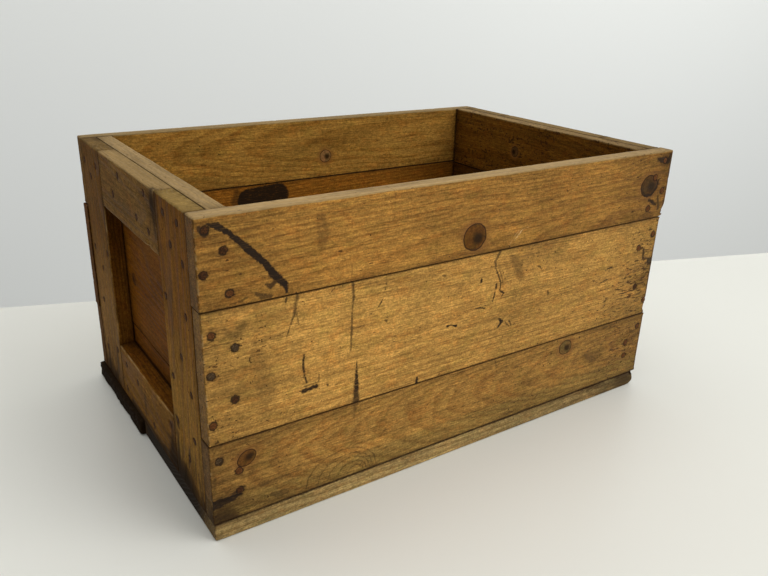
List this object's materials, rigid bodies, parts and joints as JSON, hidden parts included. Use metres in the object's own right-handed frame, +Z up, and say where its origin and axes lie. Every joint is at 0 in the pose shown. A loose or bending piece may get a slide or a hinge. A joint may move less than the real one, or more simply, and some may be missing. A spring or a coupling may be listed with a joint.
{
  "type": "wooden apple crate",
  "caption": "Open-topped nailed wooden fruit crate with plank sides and floor, and framed double-layer ends whose recesses serve as hand-holds.",
  "frame": {"origin": "on the ground, at the middle of the crate's outline", "axes": "+X along the length, +Y towards the back side, +Z up"},
  "size_m": [0.528, 0.335, 0.276],
  "materials": {
    "side_boards": "aged bare pine, amber, worn smooth, with stains, knots and nail rust",
    "end_frames": "aged bare pine, browner and dirtier",
    "end_panels": "aged bare pine, brown",
    "floor_boards": "weathered bare pine, grey-tan, with dark dirty ends",
    "nails": "rusted steel"
  },
  "bodies": {
    "root": {"back_bottom_board": "side_boards", "back_middle_board": "side_boards", "back_top_board": "side_boards", "floor_back_board": "floor_boards", "floor_front_board": "floor_boards", "front_bottom_board": "side_boards", "front_middle_board": "side_boards", "front_top_board": "side_boards", "left_back_stile": "end_frames", "left_bottom_rail": "end_frames", "left_front_stile": "end_frames", "left_lower_panel_board": "end_panels", "left_top_rail": "end_frames", "left_upper_panel_board": "end_panels", "nail_back_left_bottom_panel": "nails", "nail_back_left_bottom_stile": "nails", "nail_back_left_middle_panel": "nails", "nail_back_left_middle_stile": "nails", "nail_back_left_top_panel": "nails", "nail_back_left_top_stile": "nails", "nail_back_right_bottom_panel": "nails", "nail_back_right_bottom_stile": "nails", "nail_back_right_middle_panel": "nails", "nail_back_right_middle_stile": "nails", "nail_back_right_top_panel": "nails", "nail_back_right_top_stile": "nails", "nail_floor_back_left_panel": "nails", "nail_floor_back_left_stile": "nails", "nail_floor_back_right_panel": "nails", "nail_floor_back_right_stile": "nails", "nail_floor_front_left_panel": "nails", "nail_floor_front_left_stile": "nails", "nail_floor_front_right_panel": "nails", "nail_floor_front_right_stile": "nails", "nail_front_left_bottom_panel": "nails", "nail_front_left_bottom_stile": "nails", "nail_front_left_middle_panel": "nails", "nail_front_left_middle_stile": "nails", "nail_front_left_top_panel": "nails", "nail_front_left_top_stile": "nails", "nail_front_right_bottom_panel": "nails", "nail_front_right_bottom_stile": "nails", "nail_front_right_middle_panel": "nails", "nail_front_right_middle_stile": "nails", "nail_front_right_top_panel": "nails", "nail_front_right_top_stile": "nails", "nail_left_back_stile": "nails", "nail_left_bottom_rail": "nails", "nail_left_front_stile": "nails", "nail_left_top_rail": "nails", "nail_right_back_stile": "nails", "nail_right_bottom_rail": "nails", "nail_right_front_stile": "nails", "nail_right_top_rail": "nails", "right_back_stile": "end_frames", "right_bottom_rail": "end_frames", "right_front_stile": "end_frames", "right_lower_panel_board": "end_panels", "right_top_rail": "end_frames", "right_upper_panel_board": "end_panels"}
  },
  "joints": []
}
